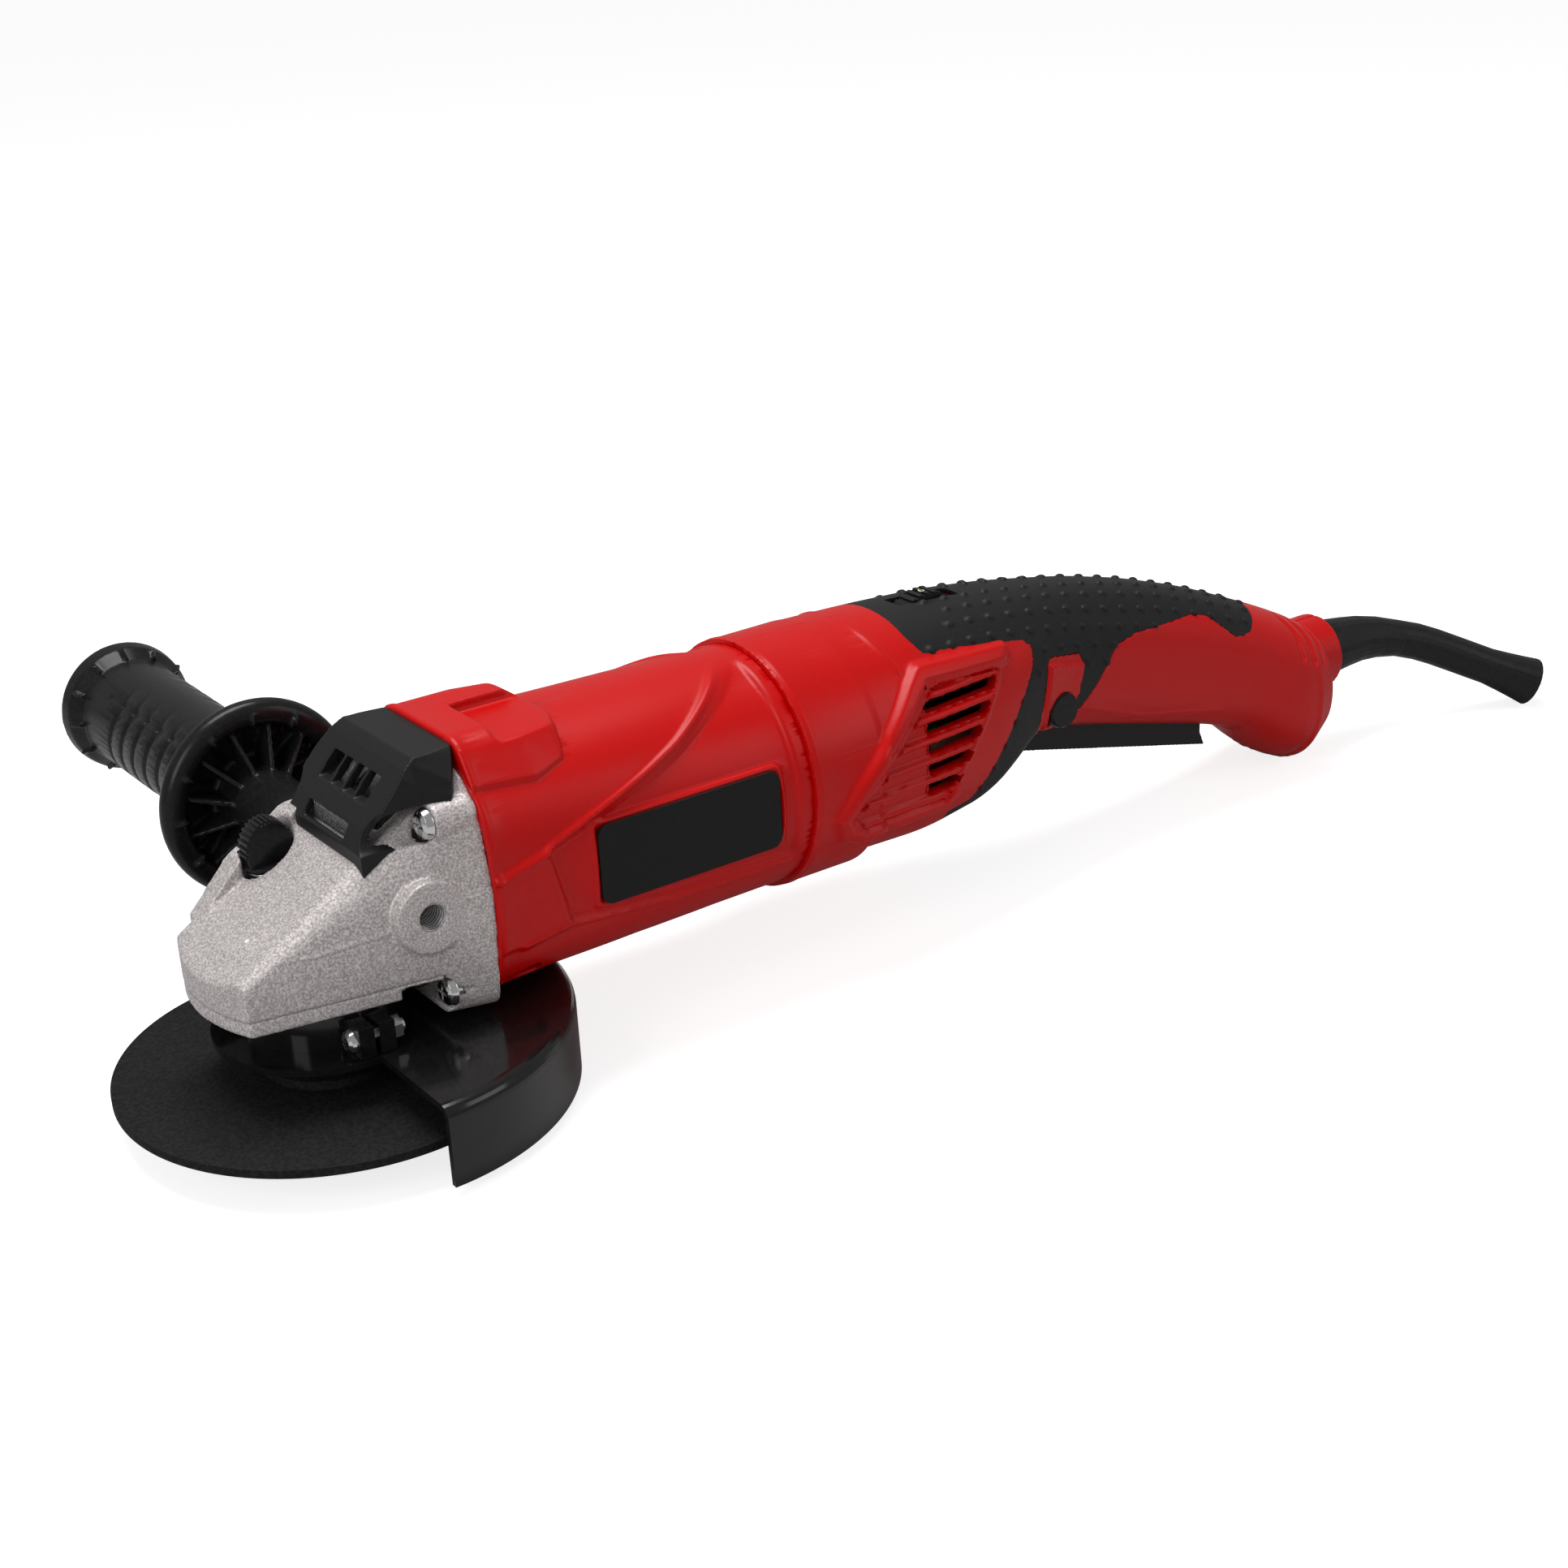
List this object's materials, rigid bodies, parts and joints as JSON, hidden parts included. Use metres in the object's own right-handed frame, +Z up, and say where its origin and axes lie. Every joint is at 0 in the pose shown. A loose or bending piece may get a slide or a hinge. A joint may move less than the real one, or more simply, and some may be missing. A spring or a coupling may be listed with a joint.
{
  "type": "angle grinder",
  "caption": "Long-handled electric angle grinder with a silver gear head, red body, half-round black guard, side handle, trigger paddle, speed dial and cord sleeve.",
  "frame": {"origin": "centre of the free end of the disc spindle", "axes": "+X from the spindle towards the tail, +Z up along the spindle, +Y towards the side handle"},
  "size_m": [0.5612, 0.2611, 0.1058],
  "materials": {
    "abrasive": "bonded black grit",
    "blackened_steel": "blackened, satin",
    "steel": "ground",
    "bearing_steel": "polished",
    "guard_paint": "gloss black enamel",
    "chrome_screw": "bright plated",
    "cast_aluminium": "die-cast with a fine speckle",
    "black_plastic": "fine satin",
    "spring_steel": "drawn wire",
    "core_steel": "stacked laminations",
    "copper": "enamelled copper",
    "cream_plastic": "moulded",
    "red_plastic": "moulded, satin gloss",
    "label_black": "matte plate",
    "brass": "stamped",
    "carbon": "pressed carbon",
    "grip_rubber": "soft overmould with raised dots",
    "gloss_black": "semi-gloss",
    "board_green": "solder mask",
    "sleeve_rubber": "smooth"
  },
  "bodies": {
    "machine": {"gear_housing": "cast_aluminium", "bearing_cover": "cast_aluminium", "cover_screws": "blackened_steel", "head_screws": "chrome_screw", "air_deflector": "black_plastic", "spindle_bearing": "bearing_steel", "needle_bearing": "bearing_steel", "front_bearing": "bearing_steel", "rear_bearing": "bearing_steel", "stator_core": "core_steel", "stator_coils": "copper", "air_baffle": "cream_plastic", "motor_housing": "red_plastic", "label_plate": "label_black", "brush_holders": "brass", "brushes": "carbon", "brush_springs": "spring_steel", "handle_shell_left": "red_plastic", "handle_shell_right": "red_plastic", "grip_left": "grip_rubber", "grip_right": "grip_rubber", "shell_screws": "blackened_steel", "trigger_pin": "steel", "trigger_spring": "spring_steel", "lock_spring": "spring_steel", "lock_on_spring": "spring_steel", "switch_body": "black_plastic", "dial_pin": "steel", "control_board": "board_green", "control_module": "black_plastic", "capacitor": "cream_plastic", "cord_clamp": "black_plastic", "clamp_screws": "steel", "cord_sleeve": "sleeve_rubber", "side_handle_grip": "gloss_black", "side_handle_stud": "steel"},
    "drive": {"spindle": "steel", "crown_gear": "steel", "gear_circlip": "steel", "inner_flange": "blackened_steel", "lock_nut": "blackened_steel", "grinding_disc": "abrasive"},
    "motor": {"armature_shaft": "steel", "armature_core": "core_steel", "armature_windings": "copper", "commutator": "copper", "fan": "black_plastic", "pinion": "steel", "pinion_nut": "steel"},
    "guard_unit": {"guard": "guard_paint", "guard_collar": "guard_paint", "guard_screw": "chrome_screw"},
    "lock_unit": {"lock_button": "black_plastic", "lock_pin": "steel"},
    "trigger": {"trigger_paddle": "black_plastic", "switch_plunger": "cream_plastic"},
    "lock_on": {"lock_on_button": "gloss_black"},
    "dial": {"speed_dial": "black_plastic"}
  },
  "joints": [
    {"name": "spindle_spin", "type": "hinge", "parent": "machine", "child": "drive", "pos_m": [0, 0, 0], "axis": [0, 0, 1], "continuous": true},
    {"name": "motor_spin", "type": "hinge", "parent": "machine", "child": "motor", "pos_m": [0, 0, 0.0585], "axis": [1, 0, 0], "continuous": true},
    {"name": "guard_turn", "type": "hinge", "parent": "machine", "child": "guard_unit", "pos_m": [0, 0, 0], "axis": [0, 0, 1], "range_deg": [-110, 20]},
    {"name": "lock_press", "type": "slide", "parent": "machine", "child": "lock_unit", "axis": [0, 0, -1], "range_m": [0, 0.0035], "stiffness_N_per_m": 500, "springref_m": -0.001, "deforming": ["lock_spring"]},
    {"name": "trigger_pull", "type": "hinge", "parent": "machine", "child": "trigger", "pos_m": [0.333, 0, 0.029], "axis": [0, 1, 0], "range_deg": [0, 3.5], "stiffness_Nm_per_rad": 3, "springref_deg": -1.72, "deforming": ["trigger_spring"]},
    {"name": "lock_on_press", "type": "slide", "parent": "machine", "child": "lock_on", "axis": [0, 1, 0], "range_m": [0, 0.003], "stiffness_N_per_m": 400, "springref_m": -0.001, "deforming": ["lock_on_spring"]},
    {"name": "dial_turn", "type": "hinge", "parent": "machine", "child": "dial", "pos_m": [0.219, 0, 0.0846], "axis": [0, 1, 0], "range_deg": [0, 270]}
  ],
  "couplings": [
    {"joint": "motor_spin", "follows": "spindle_spin", "ratio": 3.4545}
  ]
}
